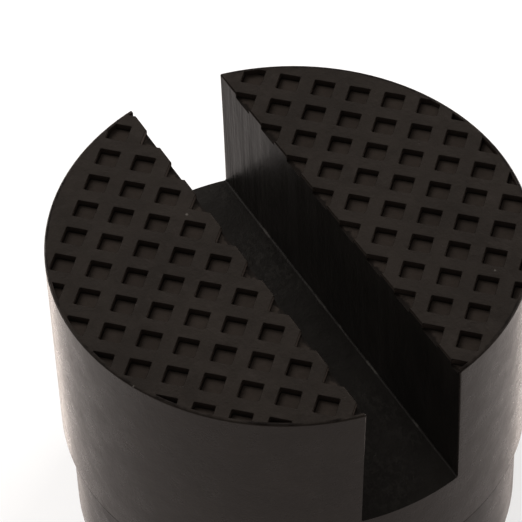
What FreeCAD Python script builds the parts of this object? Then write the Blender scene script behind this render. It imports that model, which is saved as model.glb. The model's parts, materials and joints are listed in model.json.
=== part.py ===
# Rubber jack pad: a round moulded block that sits between the saddle of a
# trolley jack and the sill of a car. It is one solid piece of rubber, with a
# slot across the top that takes the welded sill flange, and a waffle of small
# square recesses over the top face for grip.
#
# Frame: millimetres, +Z up, origin at the centre of the underside.
# X runs across the slot, Y runs along it.
import FreeCAD, Part
import math
import os

os.makedirs("parts", exist_ok=True)

# Block
pad_height = 50.0
pad_diameter = 65.0
foot_height = 17.0            # the lower part, which is a little smaller
foot_diameter = 62.6
foot_edge_radius = 0.4        # round at the underside
shoulder_edge_radius = 0.3    # round at the lower edge of the upper part
top_edge_radius = 0.25        # round at the rim and along the edges of the slot

# Sill slot, undercut so that its lips hold the flange
slot_depth = 21.5
slot_mouth_width = 13.9
slot_floor_width = 14.8
slot_lean = 0.3               # how far the middle of the mouth lies to +X of the middle of the floor
slot_corner_radius = 0.5      # round between each wall and the floor

# Waffle of square recesses in the top face
recess_pitch = 5.0            # from centre to centre
recess_side = 2.9
recess_depth = 0.9
waffle_angle = 45.0           # degrees from the slot to the rows of recesses
waffle_shift_x = 0.25         # the waffle sits a little off the middle of the pad
waffle_shift_y = 0.53
slot_bite = 0.35              # a recess that would cut less than this at the slot is left out
rim_bite = 0.85               # a recess that would cut less than this at the rim is left out
rim_lip_width = 0.5           # thin lip along the rim, which closes the recesses there
corner_allowance = 0.15       # a corner that reaches into the lip by less than this stays square

# Sizes that follow from those above
pad_radius = pad_diameter / 2
foot_radius = foot_diameter / 2
slot_floor_z = pad_height - slot_depth
lip_inner_radius = pad_radius - rim_lip_width
cutter_overrun = pad_radius   # how far a cutting tool runs past the block


def vec(x, y, z):
    return FreeCAD.Vector(x, y, z)


def section_arc(centre_x, centre_z, radius, start_degrees, end_degrees):
    """An arc in the XZ plane, anticlockwise as seen from -Y."""
    points = []
    for degrees in (start_degrees, (start_degrees + end_degrees) / 2, end_degrees):
        turn = math.radians(degrees)
        points.append(vec(centre_x + radius * math.cos(turn), 0, centre_z + radius * math.sin(turn)))
    return Part.Arc(*points).toShape()


def section_line(x0, z0, x1, z1):
    return Part.makeLine(vec(x0, 0, z0), vec(x1, 0, z1))


def turned_block():
    """The block without its slot: half its section, turned about Z.

    A quarter turn then puts the seam of its round faces where the slot is cut.
    """
    foot_round_x = foot_radius - foot_edge_radius
    shoulder_round_x = pad_radius - shoulder_edge_radius
    shoulder_round_z = foot_height + shoulder_edge_radius
    rim_round_x = pad_radius - top_edge_radius
    rim_round_z = pad_height - top_edge_radius
    section = Part.Wire([
        section_line(0, pad_height, 0, 0),
        section_line(0, 0, foot_round_x, 0),
        section_arc(foot_round_x, foot_edge_radius, foot_edge_radius, -90, 0),
        section_line(foot_radius, foot_edge_radius, foot_radius, foot_height),
        section_line(foot_radius, foot_height, shoulder_round_x, foot_height),
        section_arc(shoulder_round_x, shoulder_round_z, shoulder_edge_radius, -90, 0),
        section_line(pad_radius, shoulder_round_z, pad_radius, rim_round_z),
        section_arc(rim_round_x, rim_round_z, top_edge_radius, 0, 90),
        section_line(rim_round_x, pad_height, 0, pad_height),
    ])
    block = Part.Face(section).revolve(vec(0, 0, 0), vec(0, 0, 1), 360)
    block.rotate(vec(0, 0, 0), vec(0, 0, 1), 90)
    return block


def slot_section():
    """Section of the slot, from its floor to above the block, as a closed face."""
    left_floor = -slot_lean / 2 - slot_floor_width / 2
    right_floor = left_floor + slot_floor_width
    left_mouth = slot_lean / 2 - slot_mouth_width / 2
    right_mouth = left_mouth + slot_mouth_width
    top_z = pad_height + slot_depth
    corners = [
        vec(left_floor, 0, slot_floor_z),
        vec(right_floor, 0, slot_floor_z),
        vec(2 * right_mouth - right_floor, 0, top_z),
        vec(2 * left_mouth - left_floor, 0, top_z),
    ]
    return Part.Face(Part.makePolygon(corners + corners[:1]))


def slot_tool():
    """The solid that the slot leaves empty, with its two floor corners rounded."""
    tool = slot_section().extrude(vec(0, 2 * cutter_overrun, 0))
    tool.translate(vec(0, -cutter_overrun, 0))
    floor_corners = [
        edge for edge in tool.Edges
        if abs(edge.CenterOfMass.z - slot_floor_z) < 0.01 and abs(edge.CenterOfMass.x) > 0.01
        and abs(edge.CenterOfMass.y) < 0.01
    ]
    return tool.makeFillet(slot_corner_radius, floor_corners)


def round_slot_mouth(block):
    """Rounds the two long edges of the slot, and from there its outlines in the side."""
    mouth_edges = [
        edge for edge in block.Edges
        if edge.BoundBox.ZMin > pad_height - 0.01 and edge.BoundBox.XLength < 0.01
    ]
    return block.makeFillet(top_edge_radius, mouth_edges)


def recess_peg(centre_x, centre_y, bottom_z):
    """One recess as a square peg, turned to the waffle."""
    half = recess_side / 2
    peg = Part.makeBox(recess_side, recess_side, 2 * recess_depth, vec(-half, -half, 0))
    peg.rotate(vec(0, 0, 0), vec(0, 0, 1), waffle_angle)
    peg.translate(vec(centre_x, centre_y, bottom_z))
    return peg


def recess_corners(centre_x, centre_y):
    """The four corners of a recess in plan."""
    half_diagonal = recess_side / math.sqrt(2)
    corners = []
    for quarter in range(4):
        turn = math.radians(waffle_angle + 45 + 90 * quarter)
        corners.append((centre_x + half_diagonal * math.cos(turn), centre_y + half_diagonal * math.sin(turn)))
    return corners


def recess_centres():
    """Centres of the recesses that bite into the top face."""
    turn = math.radians(waffle_angle)
    steps = math.ceil(pad_radius / recess_pitch) + 1
    centres = []
    for row in range(-steps, steps):
        for column in range(-steps, steps):
            u = (column + 0.5) * recess_pitch
            v = (row + 0.5) * recess_pitch
            x = u * math.cos(turn) - v * math.sin(turn) + waffle_shift_x
            y = u * math.sin(turn) + v * math.cos(turn) + waffle_shift_y
            corners = recess_corners(x, y)
            nearest = min(math.hypot(cx, cy) for cx, cy in corners)
            past_slot = max(abs(cx - slot_lean / 2) for cx, cy in corners) - slot_mouth_width / 2
            if nearest < lip_inner_radius - rim_bite and past_slot > slot_bite:
                centres.append((x, y))
    return centres


def reaches_lip(centre_x, centre_y):
    """Whether a recess would cut into the lip along the rim."""
    reach = max(math.hypot(cx, cy) for cx, cy in recess_corners(centre_x, centre_y))
    return reach > lip_inner_radius + corner_allowance


def waffle_tool():
    """The solid that the waffle leaves empty, trimmed to the inside of the lip."""
    floor_z = pad_height - recess_depth
    inside_lip = Part.makeCylinder(lip_inner_radius, 2 * recess_depth, vec(0, 0, floor_z))
    tools = []
    for x, y in recess_centres():
        peg = recess_peg(x, y, floor_z)
        if reaches_lip(x, y):
            peg = peg.common(inside_lip)
        tools.append(peg)
    return Part.makeCompound(tools)


def jack_pad():
    block = round_slot_mouth(turned_block().cut(slot_tool()))
    return block.cut(waffle_tool())


jack_pad().exportStep("parts/jack_pad.step")
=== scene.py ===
"""Looks of a slotted rubber jack pad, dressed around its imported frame.

Lengths are in metres and angles in degrees unless a name says otherwise. +Z is up
and the origin is at the centre of the underside. X runs across the sill slot, and
Y runs along it.
"""

import json
import logging
import math
from contextlib import contextmanager
from dataclasses import dataclass, replace
from enum import Enum
from typing import Callable, Iterator

import bmesh
import bpy
from mathutils import Matrix, Vector

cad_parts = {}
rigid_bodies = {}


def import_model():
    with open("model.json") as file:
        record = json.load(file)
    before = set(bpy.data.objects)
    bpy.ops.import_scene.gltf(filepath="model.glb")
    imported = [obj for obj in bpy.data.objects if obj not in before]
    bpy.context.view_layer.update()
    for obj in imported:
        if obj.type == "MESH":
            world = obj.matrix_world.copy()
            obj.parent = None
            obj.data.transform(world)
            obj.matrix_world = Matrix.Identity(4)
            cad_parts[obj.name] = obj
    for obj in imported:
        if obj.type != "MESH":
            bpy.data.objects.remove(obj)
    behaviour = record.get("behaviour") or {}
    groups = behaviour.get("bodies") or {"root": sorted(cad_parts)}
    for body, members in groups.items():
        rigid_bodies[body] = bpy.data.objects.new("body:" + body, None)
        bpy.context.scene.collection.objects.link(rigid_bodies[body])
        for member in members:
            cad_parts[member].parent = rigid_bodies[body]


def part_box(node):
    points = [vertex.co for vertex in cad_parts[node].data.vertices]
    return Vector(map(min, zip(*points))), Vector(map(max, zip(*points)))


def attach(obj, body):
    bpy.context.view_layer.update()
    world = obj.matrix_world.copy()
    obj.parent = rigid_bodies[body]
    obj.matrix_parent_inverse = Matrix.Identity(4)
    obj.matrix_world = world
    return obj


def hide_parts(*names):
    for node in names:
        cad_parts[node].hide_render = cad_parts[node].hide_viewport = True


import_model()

LOG = logging.getLogger("jack_pad")
MM = 0.001
MERGE_DISTANCE = 0.002 * MM
BOX_CLEARANCE = 0.001 * MM
SHARP_ANGLE = math.radians(60)
SMOOTH_ANGLE = math.radians(35)

# Parts of a face's normal that tell the surfaces of the pad apart
FACES_UP = 0.9
LEVEL = 0.98
STEEP = 0.2
LEAVES_WALL = 0.1
FACES_ACROSS = 0.99


class Pick(Enum):
    """The mesh elements that an edit-mode operator acts on."""

    VERTS = "VERT"
    EDGES = "EDGE"
    FACES = "FACE"


class Skin(Enum):
    """The surfaces of the pad, each with a finish of its own; several finishes are the same rubber
    painted lighter or darker as painted light and shade.
    """

    GRIP = 0
    RECESS = 1
    SIDE = 2
    SLOT_WALL = 3
    SLOT_FLOOR = 4
    RECESS_WALL = 5
    FOOT = 6
    EDGE = 7


class LineKind(Enum):
    """Where a thin line of painted shade or painted highlight runs on the pad."""

    # Painted shade along the rim of the grip face
    RIM = "rim"
    # Painted highlight along the slot floor's corner with the wall
    SLOT_CORNER = "slot corner"
    # Painted shadow on the recess floors beside the slot's mouth
    SLOT_MOUTH = "slot mouth"


@dataclass(frozen=True)
class LinePlace:
    """The run of a line: a ring around the axis, or a pair of straight lines along Y."""

    reach: float
    middle: float = 0.0
    height: float = 0.0


# Mesh helpers


def deselect_all() -> None:
    """Deselects every object, so that an operator acts on the new one alone."""
    for thing in bpy.context.view_layer.objects:
        thing.select_set(False)


def make_active(piece: bpy.types.Object) -> None:
    """Selects one object alone and makes it the active one.

    Args:
        piece: The object that the next operators act on.
    """
    deselect_all()
    piece.select_set(True)
    bpy.context.view_layer.objects.active = piece


@contextmanager
def edit_mode(piece: bpy.types.Object) -> Iterator[None]:
    """Opens an object in edit mode and leaves edit mode at the end.

    Args:
        piece: The mesh object to edit.
    """
    make_active(piece)
    bpy.ops.object.mode_set(mode="EDIT")
    try:
        yield
    finally:
        bpy.ops.object.mode_set(mode="OBJECT")


def pick(piece: bpy.types.Object, kind: Pick, test: Callable[..., bool]) -> int:
    """Selects the elements of an object in edit mode that pass a test.

    Args:
        piece: The object, already in edit mode.
        kind: Which elements are tested.
        test: Takes a bmesh element and says whether it is wanted.

    Returns:
        How many elements are selected.
    """
    bpy.ops.mesh.select_all(action="DESELECT")
    bpy.ops.mesh.select_mode(type=kind.value)
    mesh = bmesh.from_edit_mesh(piece.data)
    elements = {Pick.VERTS: mesh.verts, Pick.EDGES: mesh.edges, Pick.FACES: mesh.faces}[kind]
    count = 0
    for element in elements:
        if test(element):
            element.select_set(True)
            count += 1
    mesh.select_flush_mode()
    bmesh.update_edit_mesh(piece.data)
    return count


def middle(edge: bmesh.types.BMEdge) -> Vector:
    """The point halfway along an edge."""
    return (edge.verts[0].co + edge.verts[1].co) / 2


def rise(edge: bmesh.types.BMEdge) -> float:
    """How far an edge goes up from one end to the other."""
    return abs(edge.verts[0].co.z - edge.verts[1].co.z)


def is_sharp(edge: bmesh.types.BMEdge) -> bool:
    """Whether an edge is a sharp corner between two faces."""
    return len(edge.link_faces) == 2 and edge.calc_face_angle() > SHARP_ANGLE


def apply_modifier(piece: bpy.types.Object, kind: str, **settings: object) -> None:
    """Adds a modifier with its settings and applies it.

    Args:
        piece: The object that is changed.
        kind: The modifier's type.
        settings: Values of the modifier's properties.
    """
    make_active(piece)
    modifier = piece.modifiers.new(kind.lower(), kind)
    for name, value in settings.items():
        setattr(modifier, name, value)
    bpy.ops.object.modifier_apply(modifier=modifier.name)


def combine(piece: bpy.types.Object, tool: bpy.types.Object, operation: str) -> None:
    """Cuts or intersects a piece with a tool and removes the tool.

    Args:
        piece: The object that is kept.
        tool: The other object, deleted afterwards.
        operation: DIFFERENCE, INTERSECT or UNION.
    """
    apply_modifier(piece, "BOOLEAN", operation=operation, object=tool, solver="EXACT")
    bpy.data.objects.remove(tool, do_unlink=True)


def bake_place(piece: bpy.types.Object) -> None:
    """Moves an object's place, turn and scale into its mesh."""
    make_active(piece)
    bpy.ops.object.transform_apply(location=True, rotation=True, scale=True)


# The pad


@dataclass
class JackPad:
    """The moulded rubber pad: block, foot, sill slot and waffle grip face."""

    radius: float
    height: float
    foot_radius: float = 31.3 * MM
    foot_height: float = 17.0 * MM
    foot_edge_radius: float = 0.4 * MM
    shoulder_edge_radius: float = 0.5 * MM
    edge_radius: float = 0.25 * MM
    slot_depth: float = 21.5 * MM
    slot_mouth_width: float = 13.9 * MM
    slot_floor_width: float = 14.8 * MM
    slot_lean: float = 0.3 * MM
    slot_corner_radius: float = 0.3 * MM
    rim_shadow_inset: float = 0.3 * MM
    recess_pitch: float = 5.0 * MM
    recess_side: float = 2.9 * MM
    recess_depth: float = 0.9 * MM
    recess_corner_radius: float = 0.3 * MM
    recess_lip_radius: float = 0.12 * MM
    waffle_angle: float = 45.0
    waffle_shift: tuple[float, float] = (0.25 * MM, 0.53 * MM)
    slot_bite: float = 0.35 * MM
    rim_bite: float = 0.85 * MM
    rim_lip_width: float = 0.5 * MM
    side_facets: int = 128
    foot_edge_facets: int = 5
    shoulder_edge_facets: int = 4
    slot_corner_facets: int = 5
    upper_edge_facets: int = 4
    recess_corner_facets: int = 2
    recess_lip_facets: int = 3
    top_allowance: float = 0.01 * MM
    tolerance: float = 0.02 * MM
    name: str = "jack_pad_rubber"

    @property
    def slot_floor_z(self) -> float:
        """Height of the slot's floor."""
        return self.height - self.slot_depth

    @property
    def recess_floor_z(self) -> float:
        """Height of the floors of the recesses."""
        return self.height - self.recess_depth

    @property
    def lip_inner_radius(self) -> float:
        """Radius inside which the recesses have their full depth."""
        return self.radius - self.rim_lip_width

    def line_place(self, kind: LineKind) -> LinePlace:
        """Where a thin line of a kind runs on this pad.

        Args:
            kind: The line's kind.

        Returns:
            Its run.
        """
        if kind is LineKind.RIM:
            return LinePlace(reach=self.radius - self.rim_shadow_inset)
        if kind is LineKind.SLOT_CORNER:
            return LinePlace(reach=self.slot_floor_width / 2, middle=-self.slot_lean / 2,
                             height=self.slot_floor_z)
        return LinePlace(reach=self.slot_mouth_width / 2, middle=self.slot_lean / 2,
                         height=self.recess_floor_z)

    def turned_block(self) -> bpy.types.Object:
        """Builds the round block with its foot, a little taller than the pad.

        Returns:
            The block, with sharp upper edges.
        """
        bpy.ops.mesh.primitive_cylinder_add(
            vertices=self.side_facets, radius=self.foot_radius, depth=self.foot_height,
            location=(0, 0, self.foot_height / 2))
        block = bpy.context.object
        block.name = self.name
        bake_place(block)
        spread = self.radius / self.foot_radius
        block_top = self.height + self.top_allowance
        with edit_mode(block):
            pick(block, Pick.FACES, lambda face: face.normal.z > FACES_UP)
            bpy.ops.mesh.extrude_region_move()
            bpy.ops.transform.resize(value=(spread, spread, 1), center_override=(0, 0, 0))
            bpy.ops.mesh.extrude_region_move(
                TRANSFORM_OT_translate={"value": (0, 0, block_top - self.foot_height)})
            self.round_ring(block, 0.0, self.foot_radius, self.foot_edge_radius,
                            self.foot_edge_facets)
            self.round_ring(block, self.foot_height, self.radius, self.shoulder_edge_radius,
                            self.shoulder_edge_facets)
        return block

    def round_ring(self, block: bpy.types.Object, z: float, ring_radius: float, radius: float,
                   facets: int) -> None:
        """Rounds one ring of edges around the block, in edit mode.

        Args:
            block: The block, in edit mode.
            z: Height of the ring.
            ring_radius: Distance of the ring from the axis.
            radius: Radius of the round.
            facets: Number of facets across the round.
        """
        def on_ring(edge: bmesh.types.BMEdge) -> bool:
            """Whether an edge lies on the ring."""
            spot = middle(edge)
            reach = math.hypot(spot.x, spot.y)
            return (rise(edge) < self.tolerance and abs(spot.z - z) < self.tolerance
                    and abs(reach - ring_radius) < 5 * self.tolerance)

        pick(block, Pick.EDGES, on_ring)
        bpy.ops.mesh.bevel(offset=radius, segments=facets, clamp_overlap=False)

    def slot_tool(self) -> bpy.types.Object:
        """Builds the solid that the slot leaves empty.

        Returns:
            The tool, wider at the floor than at the mouth, with round floor corners.
        """
        depth = 2 * self.slot_depth
        length = 3 * self.radius
        floor_x = -self.slot_lean / 2
        top_width = 2 * self.slot_mouth_width - self.slot_floor_width

        def is_floor_corner(edge: bmesh.types.BMEdge) -> bool:
            """Whether an edge runs between the slot's floor and a wall."""
            spot = middle(edge)
            return (abs(spot.z - self.slot_floor_z) < self.tolerance
                    and abs(spot.x - floor_x) > self.slot_mouth_width / 4)

        bpy.ops.mesh.primitive_cube_add(
            size=1, location=(floor_x, 0, self.slot_floor_z + depth / 2))
        tool = bpy.context.object
        tool.scale = (self.slot_floor_width, length, depth)
        bake_place(tool)
        with edit_mode(tool):
            pick(tool, Pick.FACES, lambda face: face.normal.z > FACES_UP)
            bpy.ops.transform.resize(value=(top_width / self.slot_floor_width, 1, 1),
                                     center_override=(floor_x, 0, 0))
            bpy.ops.transform.translate(value=(2 * self.slot_lean, 0, 0))
            pick(tool, Pick.EDGES, is_floor_corner)
            bpy.ops.mesh.bevel(offset=self.slot_corner_radius, segments=self.slot_corner_facets,
                               clamp_overlap=False)
        return tool

    def round_upper_edges(self, block: bpy.types.Object) -> None:
        """Rounds the rim, the slot's mouth and the upright edges where the slot leaves the side.

        Args:
            block: The slotted block.
        """
        lowest = self.slot_floor_z + self.slot_corner_radius + self.tolerance
        with edit_mode(block):
            pick(block, Pick.EDGES, lambda edge: middle(edge).z > lowest and is_sharp(edge))
            bpy.ops.mesh.bevel(offset=self.edge_radius, segments=self.upper_edge_facets,
                               clamp_overlap=False)

    def bites(self, face: bmesh.types.BMFace) -> bool:
        """Whether the recess in a cell of the waffle cuts enough rubber to be there.

        Args:
            face: The cell, before the waffle is turned to its angle.

        Returns:
            True where the recess reaches inside the rim and past the slot's edge.
        """
        centre = face.calc_center_median()
        centre.z = 0
        half = self.recess_side / 2
        turn = Matrix.Rotation(math.radians(self.waffle_angle), 3, "Z")
        shift = Vector((*self.waffle_shift, 0))
        corners = [turn @ (centre + Vector((sx * half, sy * half, 0))) + shift
                   for sx in (-1, 1) for sy in (-1, 1)]
        nearest = min(corner.length for corner in corners)
        farthest_across = max(abs(corner.x - self.slot_lean / 2) for corner in corners)
        past_slot = farthest_across - self.slot_mouth_width / 2
        return nearest < self.lip_inner_radius - self.rim_bite and past_slot > self.slot_bite

    def waffle_slab(self) -> bpy.types.Object:
        """Builds a slab whose top is the waffle face and which holds the whole block.

        Returns:
            The slab, turned to the waffle's angle.
        """
        cells = 2 * math.ceil(self.radius / self.recess_pitch + 0.5)
        rib_half = (self.recess_pitch - self.recess_side) / 2
        slab_depth = self.height + self.foot_height
        bpy.ops.mesh.primitive_grid_add(
            x_subdivisions=cells, y_subdivisions=cells, size=cells * self.recess_pitch,
            location=(0, 0, self.height))
        slab = bpy.context.object
        bake_place(slab)
        with edit_mode(slab):
            pick(slab, Pick.FACES, self.bites)
            bpy.ops.mesh.inset(thickness=rib_half, use_individual=True)
            bpy.ops.mesh.extrude_region_move(
                TRANSFORM_OT_translate={"value": (0, 0, -self.recess_depth)})
            pick(slab, Pick.EDGES, lambda edge: rise(edge) > self.recess_depth / 2)
            bpy.ops.mesh.bevel(offset=self.recess_corner_radius, segments=self.recess_corner_facets,
                               clamp_overlap=False)
            self.round_lips(slab, self.height)
            self.round_lips(slab, self.recess_floor_z)
            pick(slab, Pick.EDGES, lambda edge: edge.is_boundary)
            bpy.ops.mesh.extrude_region_move(TRANSFORM_OT_translate={"value": (0, 0, -slab_depth)})
            bpy.ops.mesh.edge_face_add()
            bpy.ops.mesh.select_all(action="SELECT")
            bpy.ops.mesh.normals_make_consistent(inside=False)
        slab.rotation_euler.z = math.radians(self.waffle_angle)
        slab.location = (*self.waffle_shift, 0)
        bake_place(slab)
        return slab

    def rim_lip(self) -> bpy.types.Object:
        """Builds the ring that closes the recesses at the rim.

        Returns:
            The ring, level with the face and wider than the block.
        """
        depth = 3 * self.recess_depth
        outer_radius = self.radius + 2 * self.rim_lip_width
        discs = []
        for radius, overrun in ((outer_radius, 0.0), (self.lip_inner_radius, self.recess_depth)):
            bpy.ops.mesh.primitive_cylinder_add(
                vertices=self.side_facets, radius=radius, depth=depth + 2 * overrun,
                location=(0, 0, self.height - depth / 2))
            discs.append(bpy.context.object)
            bake_place(discs[-1])
        ring, hole = discs
        combine(ring, hole, "DIFFERENCE")
        return ring

    def round_lips(self, slab: bpy.types.Object, z: float) -> None:
        """Rounds the edges between the recess walls and a level face, in edit mode.

        Args:
            slab: The waffle slab, in edit mode.
            z: Height of the edges.
        """
        def is_lip(edge: bmesh.types.BMEdge) -> bool:
            """Whether an edge joins a wall to the face at this height."""
            level = rise(edge) < self.tolerance and abs(middle(edge).z - z) < self.tolerance
            return level and is_sharp(edge)

        pick(slab, Pick.EDGES, is_lip)
        bpy.ops.mesh.bevel(offset=self.recess_lip_radius, segments=self.recess_lip_facets,
                           clamp_overlap=False)

    def skin_of(self, polygon: bpy.types.MeshPolygon) -> Skin:
        """Which surface of the pad a face belongs to.

        Args:
            polygon: A face of the finished pad.

        Returns:
            The surface, which sets the face's finish.
        """
        spot, normal = polygon.center, polygon.normal
        reach = math.hypot(spot.x, spot.y)
        across = abs(spot.x + self.slot_lean / 2)
        inside_rim_round = reach < self.radius - self.edge_radius
        in_slot = (inside_rim_round and across < self.slot_floor_width / 2 + self.tolerance
                   and spot.z > self.slot_floor_z - self.tolerance)
        below_middle = spot.z < self.slot_floor_z + self.slot_depth / 2
        # The slot floor and walls take darker finishes: painted shade inside the slot
        if in_slot and below_middle and normal.z > LEAVES_WALL:
            return Skin.SLOT_FLOOR
        if in_slot and abs(normal.x) > FACES_ACROSS:
            return Skin.SLOT_WALL
        if spot.z > self.recess_floor_z - self.tolerance and reach < self.radius - self.tolerance:
            # Recess walls take a lightened finish: painted light on walls that stand in shade
            if normal.z < STEEP:
                return Skin.RECESS_WALL
            # Lip and mouth rounds take the darker edge finish: painted shade along them
            if normal.z < LEVEL and inside_rim_round:
                return Skin.EDGE
            # Recess floors take a lightened finish: painted light that offsets the shade in the
            # recesses
            return Skin.RECESS if spot.z < self.height - self.recess_depth / 2 else Skin.GRIP
        # The round at the step takes the darker edge finish, a painted shadow line under the
        # shoulder
        if abs(spot.z - self.foot_height) < self.shoulder_edge_radius:
            return Skin.EDGE if reach > self.foot_radius + self.tolerance else Skin.FOOT
        # The foot takes the darker foot finish: painted shade on the lower part
        return Skin.FOOT if spot.z < self.foot_height else Skin.SIDE

    def build(self, finishes: dict[Skin, bpy.types.Material]) -> bpy.types.Object:
        """Builds the pad and gives each surface its finish.

        Args:
            finishes: One material for each surface.

        Returns:
            The finished pad.
        """
        block = self.turned_block()
        combine(block, self.slot_tool(), "DIFFERENCE")
        self.round_upper_edges(block)
        slab = self.waffle_slab()
        combine(slab, self.rim_lip(), "UNION")
        combine(block, slab, "INTERSECT")
        with edit_mode(block):
            bpy.ops.mesh.select_all(action="SELECT")
            bpy.ops.mesh.remove_doubles(threshold=MERGE_DISTANCE)
            bpy.ops.mesh.normals_make_consistent(inside=False)
        make_active(block)
        bpy.ops.object.shade_smooth_by_angle(angle=SMOOTH_ANGLE)
        block.data.materials.clear()
        for skin in Skin:
            block.data.materials.append(finishes[skin])
        for polygon in block.data.polygons:
            polygon.material_index = self.skin_of(polygon).value
        apply_modifier(block, "WEIGHTED_NORMAL", keep_sharp=True)
        return block


# Finishes


Tone = tuple[float, float, float]


def new_group(name: str, inputs: dict[str, tuple[str, object]],
              outputs: dict[str, str]) -> bpy.types.NodeTree:
    """Makes an empty shader node group with named sockets.

    Args:
        name: Name of the group.
        inputs: Socket type and default value of each input.
        outputs: Socket type of each output.

    Returns:
        The group, with its input and output nodes in place.
    """
    tree = bpy.data.node_groups.new(name, "ShaderNodeTree")
    for label, (kind, default) in inputs.items():
        socket = tree.interface.new_socket(name=label, in_out="INPUT", socket_type=kind)
        if default is not None:
            socket.default_value = default
    for label, kind in outputs.items():
        tree.interface.new_socket(name=label, in_out="OUTPUT", socket_type=kind)
    tree.nodes.new("NodeGroupInput")
    tree.nodes.new("NodeGroupOutput")
    return tree


@dataclass
class NodeBench:
    """A node tree with short calls for the nodes that the finishes are built from."""

    tree: bpy.types.NodeTree

    def add(self, kind: str, links: dict[object, object] | None = None,
            **settings: object) -> bpy.types.Node:
        """Adds a node and fills its inputs.

        Args:
            kind: The node's type.
            links: Input name or index to a value, or to the socket that feeds it.
            settings: Values of the node's properties.

        Returns:
            The new node.
        """
        node = self.tree.nodes.new(kind)
        for name, value in settings.items():
            setattr(node, name, value)
        for key, value in (links or {}).items():
            if isinstance(value, bpy.types.NodeSocket):
                self.tree.links.new(value, node.inputs[key])
            else:
                node.inputs[key].default_value = value
        return node

    def group(self, tree: bpy.types.NodeTree, links: dict[str, object],
              output: str) -> bpy.types.NodeSocket:
        """Places a shared group.

        Args:
            tree: The group.
            links: Input name to a value or a socket.
            output: Name of the output that is wanted.

        Returns:
            That output's socket.
        """
        return self.add("ShaderNodeGroup", links, node_tree=tree).outputs[output]

    def mix(self, share: object, under: object, over: object) -> bpy.types.NodeSocket:
        """Mixes two colours.

        Args:
            share: Share of the second colour, from 0 to 1.
            under: The first colour, as a tone or a socket.
            over: The second colour, as a tone or a socket.

        Returns:
            The mixed colour.
        """
        factor, first, second, result = 0, 6, 7, 2  # the colour sockets of the Mix node
        links = {factor: share}
        for key, colour in ((first, under), (second, over)):
            links[key] = (*colour, 1.0) if isinstance(colour, tuple) else colour
        return self.add("ShaderNodeMix", links, data_type="RGBA").outputs[result]

    def length(self, x: object, y: object) -> bpy.types.NodeSocket:
        """Adds the length of a flat vector, whose parts are given."""
        flat = self.add("ShaderNodeCombineXYZ", {0: x, 1: y}).outputs[0]
        return self.add("ShaderNodeVectorMath", {0: flat}, operation="LENGTH").outputs["Value"]

    def maths(self, operation: str, first: object, second: object = 0.0,
              clamp: bool = False) -> bpy.types.NodeSocket:
        """Adds a Math node.

        Args:
            operation: The node's operation.
            first: Its first value or socket.
            second: Its second value or socket.
            clamp: Whether the result is kept from 0 to 1.

        Returns:
            The result's socket.
        """
        node = self.add("ShaderNodeMath", {0: first, 1: second}, operation=operation,
                        use_clamp=clamp)
        return node.outputs[0]

    def noise(self, vector: bpy.types.NodeSocket, scale: object, detail: float = 2.0,
              roughness: float = 0.5) -> bpy.types.NodeSocket:
        """Adds a Noise Texture.

        Args:
            vector: The coordinates.
            scale: Repeats in a metre.
            detail: Octaves of finer noise.
            roughness: Strength of the finer noise.

        Returns:
            The noise's value.
        """
        node = self.add("ShaderNodeTexNoise", {"Vector": vector, "Scale": scale, "Detail": detail,
                                               "Roughness": roughness})
        return node.outputs["Fac"]

    def ramp(self, value: bpy.types.NodeSocket, low: object, high: object, bottom: float = 0.0,
             top: float = 1.0) -> bpy.types.NodeSocket:
        """Maps a stretch of a value smoothly to a new range.

        Args:
            value: The value to map.
            low: Where the new range starts.
            high: Where it ends.
            bottom: Result at low and below.
            top: Result at high and above.

        Returns:
            The result's socket.
        """
        node = self.add("ShaderNodeMapRange", {"Value": value, "From Min": low, "From Max": high,
                                               "To Min": bottom, "To Max": top},
                        interpolation_type="SMOOTHSTEP")
        return node.outputs["Result"]

    def stretched(self, vector: bpy.types.NodeSocket,
                  scale: tuple[float, float, float]) -> bpy.types.NodeSocket:
        """Scales coordinates by different amounts along X, Y and Z.

        Args:
            vector: The coordinates.
            scale: Factor along each axis; a small one draws a pattern out.

        Returns:
            The scaled coordinates.
        """
        return self.add("ShaderNodeMapping", {"Vector": vector, "Scale": scale}).outputs["Vector"]


def moulded_grain_group() -> bpy.types.NodeTree:
    """Builds the fine skin of moulded rubber: grain, slow waves and scattered pits.

    Returns:
        A group with Vector, Grain and Pits inputs and a Height output.
    """
    tree = new_group("moulded_grain",
                     {"Vector": ("NodeSocketVector", None), "Grain": ("NodeSocketFloat", 1.0),
                      "Pits": ("NodeSocketFloat", 1.0)},
                     {"Height": "NodeSocketFloat"})
    bench = NodeBench(tree)
    source = tree.nodes["Group Input"].outputs
    wave_height = 2.0
    fine = bench.noise(source["Vector"], scale=3200.0, detail=3.0, roughness=0.6)
    waves = bench.noise(source["Vector"], scale=420.0)
    cells = bench.add("ShaderNodeTexVoronoi", {"Vector": source["Vector"], "Scale": 900.0,
                                               "Randomness": 1.0})
    pits = bench.ramp(cells.outputs["Distance"], low=0.04, high=0.16, bottom=-1.0, top=0.0)
    chosen = bench.ramp(bench.noise(source["Vector"], scale=300.0, detail=1.0), low=0.55, high=0.7)
    pits = bench.maths("MULTIPLY", bench.maths("MULTIPLY", pits, chosen), source["Pits"])
    grain = bench.maths("MULTIPLY", bench.maths("SUBTRACT", fine, 0.5), source["Grain"])
    waves = bench.maths("MULTIPLY", waves, wave_height)
    height = bench.maths("ADD", bench.maths("ADD", grain, pits), waves)
    tree.links.new(height, tree.nodes["Group Output"].inputs["Height"])
    return tree


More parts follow.
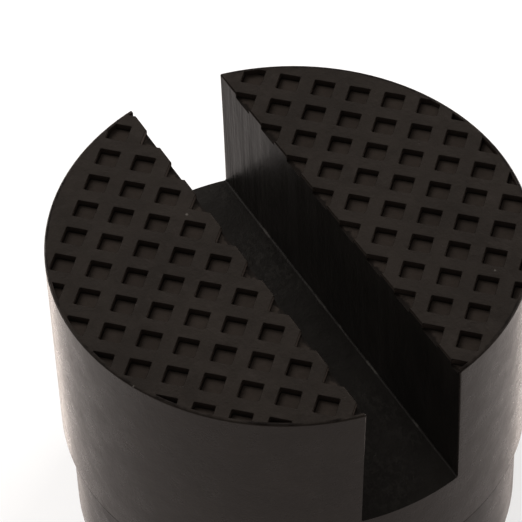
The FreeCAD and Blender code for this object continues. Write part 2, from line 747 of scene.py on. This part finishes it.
def tone_drift_group() -> bpy.types.NodeTree:
    """Builds slow changes between two tones of the same rubber.

    Returns:
        A group with Vector, Dark and Light inputs and a Color output.
    """
    tree = new_group("tone_drift",
                     {"Vector": ("NodeSocketVector", None), "Dark": ("NodeSocketColor", None),
                      "Light": ("NodeSocketColor", None)},
                     {"Color": "NodeSocketColor"})
    bench = NodeBench(tree)
    source = tree.nodes["Group Input"].outputs
    cloud_share = 0.65
    clouds = bench.noise(source["Vector"], scale=110.0, detail=3.0, roughness=0.6)
    specks = bench.noise(source["Vector"], scale=1900.0, detail=2.0, roughness=0.6)
    blend = bench.maths("ADD", bench.maths("MULTIPLY", clouds, cloud_share),
                        bench.maths("MULTIPLY", specks, 1.0 - cloud_share))
    colour = bench.mix(bench.ramp(blend, low=0.36, high=0.64), source["Dark"], source["Light"])
    tree.links.new(colour, tree.nodes["Group Output"].inputs["Color"])
    return tree


def rub_marks_group() -> bpy.types.NodeTree:
    """Builds thin marks drawn out along one direction, such as drag lines and scuffs.

    Returns:
        A group with Vector, Scale and Cover inputs and a Mask output.
    """
    tree = new_group("rub_marks",
                     {"Vector": ("NodeSocketVector", None), "Scale": ("NodeSocketFloat", 1200.0),
                      "Cover": ("NodeSocketFloat", 0.5)},
                     {"Mask": "NodeSocketFloat"})
    bench = NodeBench(tree)
    source = tree.nodes["Group Input"].outputs
    patch_share, softness = 0.12, 0.16
    lines = bench.noise(source["Vector"], source["Scale"], detail=2.0, roughness=0.6)
    patch_scale = bench.maths("MULTIPLY", source["Scale"], patch_share)
    patches = bench.noise(source["Vector"], patch_scale, detail=1.0)
    edge = bench.maths("MULTIPLY", bench.maths("SUBTRACT", 1.0, source["Cover"]), 0.9)
    strokes = bench.ramp(lines, low=edge, high=bench.maths("ADD", edge, softness))
    mask = bench.maths("MULTIPLY", strokes, bench.ramp(patches, low=0.42, high=0.62), clamp=True)
    tree.links.new(mask, tree.nodes["Group Output"].inputs["Mask"])
    return tree


def dust_specks_group() -> bpy.types.NodeTree:
    """Builds a few small specks, far apart.

    Returns:
        A group with Vector, Scale, Size and Share inputs and a Mask output.
    """
    tree = new_group("dust_specks",
                     {"Vector": ("NodeSocketVector", None), "Scale": ("NodeSocketFloat", 300.0),
                      "Size": ("NodeSocketFloat", 0.06), "Share": ("NodeSocketFloat", 0.03)},
                     {"Mask": "NodeSocketFloat"})
    bench = NodeBench(tree)
    source = tree.nodes["Group Input"].outputs
    cells = bench.add("ShaderNodeTexVoronoi", {"Vector": source["Vector"], "Scale": source["Scale"],
                                               "Randomness": 1.0})
    near = bench.maths("LESS_THAN", cells.outputs["Distance"], source["Size"])
    draw = bench.add("ShaderNodeSeparateColor", {0: cells.outputs["Color"]}).outputs[0]
    chosen = bench.maths("LESS_THAN", draw, source["Share"])
    mask = bench.maths("MULTIPLY", near, chosen)
    tree.links.new(mask, tree.nodes["Group Output"].inputs["Mask"])
    return tree


def broken_line_group() -> bpy.types.NodeTree:
    """Builds a thin line that swells, thins and breaks off along its length, the mask of the
    painted shade and highlight lines.

    Returns:
        A group with Vector, Distance, Width and Cover inputs and a Mask output.
    """
    tree = new_group("broken_line",
                     {"Vector": ("NodeSocketVector", None), "Distance": ("NodeSocketFloat", 1.0),
                      "Width": ("NodeSocketFloat", 0.0002), "Cover": ("NodeSocketFloat", 0.5)},
                     {"Mask": "NodeSocketFloat"})
    bench = NodeBench(tree)
    source = tree.nodes["Group Input"].outputs
    bare_start, softness = 0.75, 0.12
    swell = bench.noise(source["Vector"], scale=500.0, detail=3.0, roughness=0.65)
    swell = bench.ramp(swell, low=0.3, high=0.7, bottom=0.35, top=1.5)
    reach = bench.maths("MULTIPLY", source["Width"], swell)
    share = bench.maths("DIVIDE", source["Distance"], reach)
    line = bench.ramp(share, low=0.4, high=1.0, bottom=1.0, top=0.0)
    breaks = bench.noise(source["Vector"], scale=170.0, detail=3.0, roughness=0.7)
    start = bench.maths("SUBTRACT", bare_start, bench.maths("MULTIPLY", source["Cover"], 0.5))
    kept = bench.ramp(breaks, low=start, high=bench.maths("ADD", start, softness))
    mask = bench.maths("MULTIPLY", line, kept, clamp=True)
    tree.links.new(mask, tree.nodes["Group Output"].inputs["Mask"])
    return tree


@dataclass(frozen=True)
class ThinLine:
    """A thin line of another tone that follows an edge of the pad: painted shade where it is
    darker, a painted highlight where it is paler.
    """

    kind: LineKind
    width: float
    cover: float
    tone: Tone

    def distance(self, bench: NodeBench, spot: bpy.types.NodeSocket,
                 run: LinePlace) -> bpy.types.NodeSocket:
        """Works out how far a point of the surface is from the line.

        Args:
            bench: The material's nodes.
            spot: The point's coordinates.
            run: Where the line runs.

        Returns:
            The distance in metres.
        """
        x, y, z = bench.add("ShaderNodeSeparateXYZ", {0: spot}).outputs
        if self.kind is LineKind.RIM:
            return bench.maths("ABSOLUTE", bench.maths("SUBTRACT", bench.length(x, y), run.reach))
        from_middle = bench.maths("ABSOLUTE", bench.maths("SUBTRACT", x, run.middle))
        across = bench.maths("SUBTRACT", from_middle, run.reach)
        return bench.length(across, bench.maths("SUBTRACT", z, run.height))


@dataclass(frozen=True)
class RubberFinish:
    """One finish of the black rubber: its tones, gloss, skin and marks."""

    name: str
    dark: Tone
    light: Tone
    roughness: float
    roughness_spread: float
    specular: float
    grain: float
    pits: float
    grain_height: float
    mark_stretch: tuple[float, float, float]
    mark_scale: float
    mark_cover: float
    mark_strength: float
    mark_tone: Tone
    mark_roughness: float = 0.1
    mark_height: float = 0.8
    skin_stretch: tuple[float, float, float] = (1.0, 1.0, 1.0)
    wave_scale: float = 260.0
    wave_height: float = 0.0
    sheen: float = 0.0
    sheen_roughness: float = 0.35
    gloss_tone: Tone = (1.0, 1.0, 1.0)
    specks: float = 0.0
    speck_tone: Tone = (0.075, 0.07, 0.064)
    line: ThinLine | None = None
    fade: tuple[float, float] | None = None

    def material(self, groups: dict[str, bpy.types.NodeTree], pad: JackPad) -> bpy.types.Material:
        """Builds the material of this finish.

        Args:
            groups: The shared node groups by name.
            pad: The pad, which says where a thin line runs.

        Returns:
            The material.
        """
        material = bpy.data.materials.new(self.name)
        material.use_nodes = True
        bench = NodeBench(material.node_tree)
        shader = bench.tree.nodes["Principled BSDF"]
        place = bench.add("ShaderNodeTexCoord").outputs["Object"]
        presence = self.presence(bench, place)
        marks = bench.group(groups["rub_marks"],
                            {"Vector": bench.stretched(place, self.mark_stretch),
                             "Scale": self.mark_scale, "Cover": self.mark_cover}, "Mask")
        marks = bench.maths("MULTIPLY", marks, self.mark_strength)
        marks = bench.maths("MULTIPLY", marks, presence)
        waves = bench.noise(bench.stretched(place, self.skin_stretch), self.wave_scale,
                            detail=3.0, roughness=0.6)
        swell = bench.maths("MULTIPLY", waves, self.wave_height)
        swell = bench.maths("MULTIPLY", swell, presence)
        links = {
            "Base Color": self.colour(bench, groups, pad, place, marks),
            "Roughness": self.gloss(bench, waves, marks),
            "Normal": self.relief(bench, groups["moulded_grain"], place, marks, swell),
        }
        for name, socket in links.items():
            bench.tree.links.new(socket, shader.inputs[name])
        shader.inputs["Specular IOR Level"].default_value = self.specular
        shader.inputs["Specular Tint"].default_value = (*self.gloss_tone, 1.0)
        shader.inputs["Sheen Weight"].default_value = self.sheen
        shader.inputs["Sheen Roughness"].default_value = self.sheen_roughness
        shader.inputs["Sheen Tint"].default_value = (*self.gloss_tone, 1.0)
        return material

    def presence(self, bench: NodeBench, place: bpy.types.NodeSocket) -> object:
        """How much of the marks and waves shows, which may fade in along Y; on the slot wall the
        marks that fade in at the far end are drag streaks, painted paler to also stand in for the
        reflection that lights that end.

        Args:
            bench: The material's nodes.
            place: The point's coordinates.

        Returns:
            One, or the socket of the share that shows.
        """
        if self.fade is None:
            return 1.0
        start, end = self.fade
        along = bench.add("ShaderNodeSeparateXYZ", {0: place}).outputs["Y"]
        return bench.ramp(along, low=start, high=end)

    def colour(self, bench: NodeBench, groups: dict[str, bpy.types.NodeTree], pad: JackPad,
               place: bpy.types.NodeSocket, marks: bpy.types.NodeSocket) -> bpy.types.NodeSocket:
        """Lays marks, specks and a line of painted shade or painted highlight over the drifting
        tone of the rubber.

        Args:
            bench: The material's nodes.
            groups: The shared node groups by name.
            pad: The pad, which says where a thin line runs.
            place: The point's coordinates.
            marks: Mask of the rub marks.

        Returns:
            The colour.
        """
        colour = bench.group(groups["tone_drift"], {"Vector": place, "Dark": (*self.dark, 1.0),
                                                    "Light": (*self.light, 1.0)}, "Color")
        colour = bench.mix(marks, colour, self.mark_tone)
        if self.specks:
            specks = bench.group(groups["dust_specks"], {"Vector": place, "Share": self.specks},
                                 "Mask")
            colour = bench.mix(specks, colour, self.speck_tone)
        if self.line:
            distance = self.line.distance(bench, place, pad.line_place(self.line.kind))
            line = bench.group(groups["broken_line"],
                               {"Vector": place, "Distance": distance, "Width": self.line.width,
                                "Cover": self.line.cover}, "Mask")
            colour = bench.mix(line, colour, self.line.tone)
        return colour

    def gloss(self, bench: NodeBench, waves: bpy.types.NodeSocket,
              marks: bpy.types.NodeSocket) -> bpy.types.NodeSocket:
        """Makes the roughness drift with the waves and rise on the marks.

        Args:
            bench: The material's nodes.
            waves: The slow waves of the skin.
            marks: Mask of the rub marks.

        Returns:
            The roughness.
        """
        drift = bench.ramp(waves, low=0.3, high=0.7, bottom=self.roughness - self.roughness_spread,
                           top=self.roughness + self.roughness_spread)
        return bench.maths("ADD", drift, bench.maths("MULTIPLY", marks, self.mark_roughness))

    def relief(self, bench: NodeBench, grain_group: bpy.types.NodeTree, place: bpy.types.NodeSocket,
               marks: bpy.types.NodeSocket, swell: bpy.types.NodeSocket) -> bpy.types.NodeSocket:
        """Raises the grain, the marks and the waves.

        Args:
            bench: The material's nodes.
            grain_group: The group of the moulded grain.
            place: The point's coordinates.
            marks: Mask of the rub marks.
            swell: Height of the slow waves.

        Returns:
            The normal.
        """
        grain = bench.group(grain_group, {"Vector": place, "Grain": self.grain, "Pits": self.pits},
                            "Height")
        height = bench.maths("ADD", grain, bench.maths("MULTIPLY", marks, self.mark_height))
        height = bench.maths("ADD", height, swell)
        bump = bench.add("ShaderNodeBump", {"Height": height, "Distance": self.grain_height,
                                            "Strength": 1.0})
        return bump.outputs["Normal"]


GRIP_RUBBER = RubberFinish(
    name="grip_rubber", dark=(0.0108, 0.0090, 0.0076), light=(0.0160, 0.0133, 0.0112),
    roughness=0.6, roughness_spread=0.07, specular=0.03, grain=1.0, pits=0.8,
    grain_height=0.02 * MM, mark_stretch=(1.0, 0.5, 1.0), mark_scale=700.0, mark_cover=0.45,
    mark_strength=0.25, mark_tone=(0.025, 0.021, 0.0185), gloss_tone=(1.0, 0.9, 0.83), specks=0.1,
    # Its dark broken line is painted shade along the rim's edge
    line=ThinLine(LineKind.RIM, width=0.24 * MM, cover=0.65, tone=(0.003, 0.0023, 0.002)))
# The recess floors are the grip's rubber painted lighter: painted light that offsets the shade in
# the recesses
LIGHTENED_RECESS_RUBBER = RubberFinish(
    name="lightened_recess_rubber", dark=(0.0202, 0.0164, 0.0139), light=(0.0270, 0.0219, 0.0185),
    roughness=0.62, roughness_spread=0.06, specular=0.03, grain=1.0, pits=0.6,
    grain_height=0.02 * MM, mark_stretch=(1.0, 1.0, 1.0), mark_scale=900.0, mark_cover=0.45,
    mark_strength=0.3, mark_tone=(0.036, 0.030, 0.025), gloss_tone=(1.0, 0.9, 0.83),
    # Its dark line is painted shadow on the recess floors beside the slot's mouth
    line=ThinLine(LineKind.SLOT_MOUTH, width=1.0 * MM, cover=1.0, tone=(0.006, 0.005, 0.0043)))
# The recess walls are the grip's rubber painted lighter: painted light on walls that stand in shade
LIGHTENED_RECESS_WALL_RUBBER = RubberFinish(
    name="lightened_recess_wall_rubber", dark=(0.0158, 0.0122, 0.0102), light=(0.0214, 0.0166, 0.0139),
    roughness=0.65, roughness_spread=0.05, specular=0.02, grain=1.0, pits=0.4,
    grain_height=0.015 * MM, mark_stretch=(1.0, 1.0, 0.3), mark_scale=900.0, mark_cover=0.4,
    mark_strength=0.2, mark_tone=(0.018, 0.0145, 0.0125), gloss_tone=(1.0, 0.9, 0.83))
SIDE_RUBBER = RubberFinish(
    name="side_rubber", dark=(0.0082, 0.0067, 0.0057), light=(0.0116, 0.0095, 0.0081),
    roughness=0.3, roughness_spread=0.05, specular=0.14, grain=1.4, pits=0.6,
    grain_height=0.018 * MM, mark_stretch=(1.0, 1.0, 0.7), mark_scale=1300.0, mark_cover=0.45,
    mark_strength=0.25, mark_tone=(0.019, 0.0162, 0.0143), sheen=0.8, sheen_roughness=0.15,
    gloss_tone=(1.0, 0.91, 0.85))
# The edge finish is the rubber painted darker: painted shade along the lip and mouth rounds and a
# painted shadow line at the step
SHADED_EDGE_RUBBER = replace(
    LIGHTENED_RECESS_WALL_RUBBER, name="shaded_edge_rubber", dark=(0.0068, 0.0057, 0.0049),
    light=(0.0096, 0.0080, 0.0068), roughness=0.8, specular=0.0)
# The foot is the side's rubber painted darker: painted shade on the lower part of the pad
SHADED_FOOT_RUBBER = replace(
    SIDE_RUBBER, name="shaded_foot_rubber", dark=(0.0058, 0.0048, 0.0041), light=(0.0084, 0.0069, 0.0059),
    sheen=0.26, specular=0.08)
# The slot wall is the rubber painted much darker: painted shade inside the slot
SHADED_SLOT_WALL_RUBBER = RubberFinish(
    name="shaded_slot_wall_rubber", dark=(0.0034, 0.0031, 0.0027), light=(0.0049, 0.0044, 0.0039),
    roughness=0.36, roughness_spread=0.05, specular=0.05, grain=0.6, pits=0.5,
    grain_height=0.02 * MM, mark_stretch=(1.0, 1.0, 0.05), mark_scale=900.0, mark_cover=0.5,
    mark_strength=0.7, mark_tone=(0.034, 0.0305, 0.027), skin_stretch=(0.1, 1.0, 0.06),
    # Its pale drag streaks fade in towards the far end, real streaks painted paler there as a
    # painted reflection
    wave_scale=800.0, wave_height=5.0, gloss_tone=(1.0, 0.92, 0.87), fade=(14.0 * MM, 30.0 * MM))
# The slot floor is the rubber painted much darker: painted shade at the bottom of the slot
SHADED_SLOT_FLOOR_RUBBER = RubberFinish(
    name="shaded_slot_floor_rubber", dark=(0.0034, 0.0031, 0.0027), light=(0.0056, 0.0051, 0.0045),
    roughness=0.5, roughness_spread=0.04, specular=0.03, grain=0.8, pits=0.6,
    grain_height=0.02 * MM, mark_stretch=(1.0, 0.6, 1.0), mark_scale=1300.0, mark_cover=0.5,
    mark_strength=0.5, mark_tone=(0.011, 0.0102, 0.009), gloss_tone=(1.0, 0.96, 0.9),
    # Its pale broken line is a painted highlight along the floor's corner with the wall
    line=ThinLine(LineKind.SLOT_CORNER, width=0.3 * MM, cover=0.5, tone=(0.024, 0.0227, 0.0203)))


FINISHES = {
    Skin.GRIP: GRIP_RUBBER,
    Skin.RECESS: LIGHTENED_RECESS_RUBBER,
    Skin.SIDE: SIDE_RUBBER,
    Skin.SLOT_WALL: SHADED_SLOT_WALL_RUBBER,
    Skin.SLOT_FLOOR: SHADED_SLOT_FLOOR_RUBBER,
    Skin.RECESS_WALL: LIGHTENED_RECESS_WALL_RUBBER,
    Skin.FOOT: SHADED_FOOT_RUBBER,
    Skin.EDGE: SHADED_EDGE_RUBBER,
}


# Studio and camera

WHITE = (1.0, 1.0, 1.0)
LIGHT_TONE = (1.0, 0.95, 0.915)
REFLECTED_TONE = (1.0, 0.88, 0.84)


def towards(azimuth: float, elevation: float) -> Vector:
    """The direction from the pad to a lamp or the camera.

    Args:
        azimuth: Degrees from -Y, anticlockwise as seen from above.
        elevation: Degrees above the floor.

    Returns:
        A vector of length 1.
    """
    turn, rise_angle = math.radians(azimuth), math.radians(elevation)
    return Vector((math.sin(turn) * math.cos(rise_angle), -math.cos(turn) * math.cos(rise_angle),
                   math.sin(rise_angle)))


@dataclass(frozen=True)
class SoftLamp:
    """A rectangular lamp that points at the pad."""

    name: str
    azimuth: float
    elevation: float
    distance: float
    width: float
    depth: float
    power: float

    def place(self, aim: Vector) -> bpy.types.Object:
        """Puts the lamp in the scene.

        Args:
            aim: The point that the lamp faces.

        Returns:
            The lamp.
        """
        data = bpy.data.lights.new(self.name, "AREA")
        data.shape = "RECTANGLE"
        data.size = self.width
        data.size_y = self.depth
        data.energy = self.power
        data.color = LIGHT_TONE
        lamp = bpy.data.objects.new(self.name, data)
        back = towards(self.azimuth, self.elevation)
        lamp.location = aim + back * self.distance
        lamp.rotation_euler = back.to_track_quat("Z", "Y").to_euler()
        bpy.context.scene.collection.objects.link(lamp)
        return lamp


@dataclass
class Studio:
    """Pale floor, soft lamps and a plain world."""

    floor_size: float = 3.0
    floor_tone: Tone = (0.86, 0.86, 0.86)
    floor_roughness: float = 0.9
    floor_specular: float = 0.1
    floor_lift: float = 0.6
    world_level: float = 0.4
    lamps: tuple[SoftLamp, ...] = (
        SoftLamp("key_lamp", azimuth=-167.0, elevation=48.0, distance=0.9, width=0.5, depth=0.5,
                 power=5.6),
        SoftLamp("left_lamp", azimuth=-175.0, elevation=3.0, distance=0.8, width=0.4, depth=0.12,
                 power=18.0),
        SoftLamp("right_lamp", azimuth=114.0, elevation=3.0, distance=0.8, width=0.4, depth=0.12,
                 power=27.0),
    )

    @staticmethod
    def seen_directly(bench: NodeBench) -> bpy.types.NodeSocket:
        """Whether a ray comes from the camera, a gloss or a clear body.

        Args:
            bench: The nodes of the floor or the world.

        Returns:
            One for such a ray and zero for any other.
        """
        path = bench.add("ShaderNodeLightPath").outputs
        shiny = bench.maths("MAXIMUM", path["Is Glossy Ray"], path["Is Transmission Ray"])
        return bench.maths("MAXIMUM", path["Is Camera Ray"], shiny)

    @staticmethod
    def seen_tone(bench: NodeBench) -> bpy.types.NodeSocket:
        """White for a ray from the camera and a little warmer for one that the rubber reflects.

        Args:
            bench: The nodes of the floor or the world.

        Returns:
            The tone.
        """
        path = bench.add("ShaderNodeLightPath").outputs
        return bench.mix(path["Is Camera Ray"], REFLECTED_TONE, WHITE)

    def floor(self) -> bpy.types.Object:
        """Builds the floor that the pad stands on.

        Returns:
            The floor.
        """
        bpy.ops.mesh.primitive_plane_add(size=self.floor_size, location=(0, 0, 0))
        plane = bpy.context.object
        plane.name = "studio_floor"
        material = bpy.data.materials.new("studio_paper")
        material.use_nodes = True
        tree = material.node_tree
        bench = NodeBench(tree)
        paper = tree.nodes["Principled BSDF"]
        paper.inputs["Base Color"].default_value = (*self.floor_tone, 1.0)
        paper.inputs["Roughness"].default_value = self.floor_roughness
        paper.inputs["Specular IOR Level"].default_value = self.floor_specular
        glow = bench.add("ShaderNodeEmission", {"Color": self.seen_tone(bench), "Strength": 1.0})
        share = bench.maths("MULTIPLY", self.seen_directly(bench), self.floor_lift)
        mix = bench.add("ShaderNodeMixShader", {0: share, 1: paper.outputs[0], 2: glow.outputs[0]})
        tree.links.new(mix.outputs[0], tree.nodes["Material Output"].inputs["Surface"])
        plane.data.materials.append(material)
        return plane

    def world(self) -> None:
        """Sets a plain world that the camera sees as white."""
        world = bpy.data.worlds.new("studio_world")
        bpy.context.scene.world = world
        world.use_nodes = True
        tree = world.node_tree
        bench = NodeBench(tree)
        background = tree.nodes["Background"]
        seen = self.seen_directly(bench)
        tone = bench.mix(seen, LIGHT_TONE, self.seen_tone(bench))
        level = bench.ramp(seen, low=0.0, high=1.0, bottom=self.world_level, top=1.0)
        tree.links.new(tone, background.inputs["Color"])
        tree.links.new(level, background.inputs["Strength"])

    def build(self, aim: Vector) -> None:
        """Builds the floor, the world and the lamps.

        Args:
            aim: The point that the lamps face.
        """
        self.floor()
        self.world()
        for lamp in self.lamps:
            lamp.place(aim)
            LOG.info("lamp %s", lamp.name)


@dataclass(frozen=True)
class PhotoCamera:
    """The camera at the photograph's viewing angle."""

    aim: tuple[float, float, float] = (-5.32 * MM, -1.97 * MM, 50.0 * MM)
    azimuth: float = -27.85
    elevation: float = 47.68
    roll: float = -2.2
    distance: float = 425.7 * MM
    lens: float = 222.7
    sensor: float = 36.0
    nearest: float = 10.0 * MM

    def place(self) -> bpy.types.Object:
        """Puts the camera in the scene and makes it the scene's camera.

        Returns:
            The camera.
        """
        data = bpy.data.cameras.new("photo_camera")
        data.lens = self.lens
        data.sensor_width = self.sensor
        data.clip_start = self.nearest
        camera = bpy.data.objects.new("photo_camera", data)
        back = towards(self.azimuth, self.elevation)
        turn = back.to_track_quat("Z", "Y").to_matrix().to_4x4()
        turn = turn @ Matrix.Rotation(math.radians(self.roll), 4, "Z")
        camera.matrix_world = Matrix.Translation(Vector(self.aim) + back * self.distance) @ turn
        bpy.context.scene.collection.objects.link(camera)
        bpy.context.scene.camera = camera
        return camera


def main() -> None:
    """Builds the pad, its finishes, the studio and the camera."""
    logging.basicConfig(level=logging.INFO, format="%(message)s")
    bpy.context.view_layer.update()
    low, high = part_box("jack_pad")
    groups = {"moulded_grain": moulded_grain_group(), "tone_drift": tone_drift_group(),
              "rub_marks": rub_marks_group(), "dust_specks": dust_specks_group(),
              "broken_line": broken_line_group()}
    pad = JackPad(radius=(high.x - low.x) / 2 - BOX_CLEARANCE, height=high.z - low.z)
    finishes = {skin: finish.material(groups, pad) for skin, finish in FINISHES.items()}
    piece = pad.build(finishes)
    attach(piece, "root")
    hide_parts("jack_pad")
    LOG.info("piece %s: %d faces", piece.name, len(piece.data.polygons))
    Studio().build(Vector((0, 0, pad.height / 2)))
    PhotoCamera().place()
    scene = bpy.context.scene
    scene.view_settings.view_transform = "Standard"


if __name__ == "__main__":
    main()
